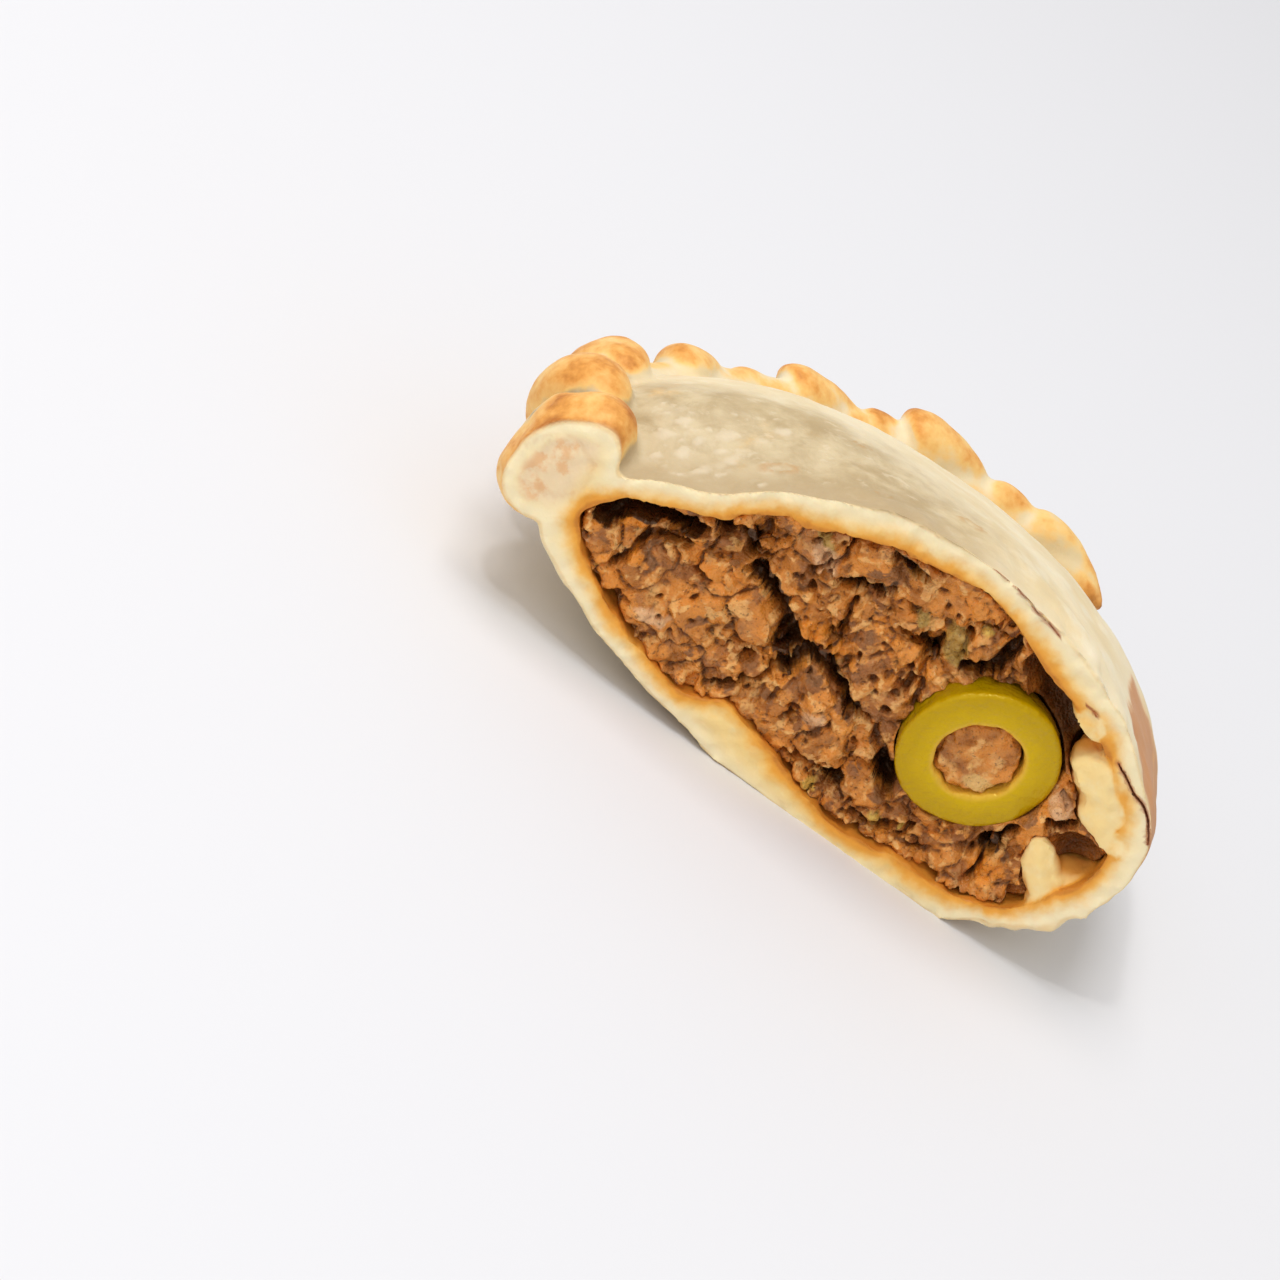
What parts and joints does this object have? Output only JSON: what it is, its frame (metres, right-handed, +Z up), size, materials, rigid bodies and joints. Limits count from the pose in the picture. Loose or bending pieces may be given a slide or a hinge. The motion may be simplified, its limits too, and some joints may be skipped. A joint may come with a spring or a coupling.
{
  "type": "beef empanada",
  "caption": "Cut half of a baked beef empanada: folded pastry with a rope-like crimped edge, minced beef filling and a ring of green olive at the cut face.",
  "frame": {"origin": "middle of the part's box, on the flat base it rests on", "axes": "+X from the crimped edge to the fold, +Y from the cut face back to the tip of the pastry, +Z up"},
  "size_m": [0.0807, 0.0679, 0.0354],
  "materials": {
    "crust": "baked white-flour pastry, pale cream skin with golden to brown toasted spots, soft matt sheen",
    "filling": "cooked minced beef, moist brown crumbs with small glossy highlights",
    "olive": "green table olive, wet and slightly translucent yellow-green",
    "olive_mince": "cooked minced beef pressed into the olive, moist light brown"
  },
  "bodies": {
    "root": {"crust": "crust", "filling": "filling", "olive": "olive", "olive_mince": "olive_mince"}
  },
  "joints": []
}
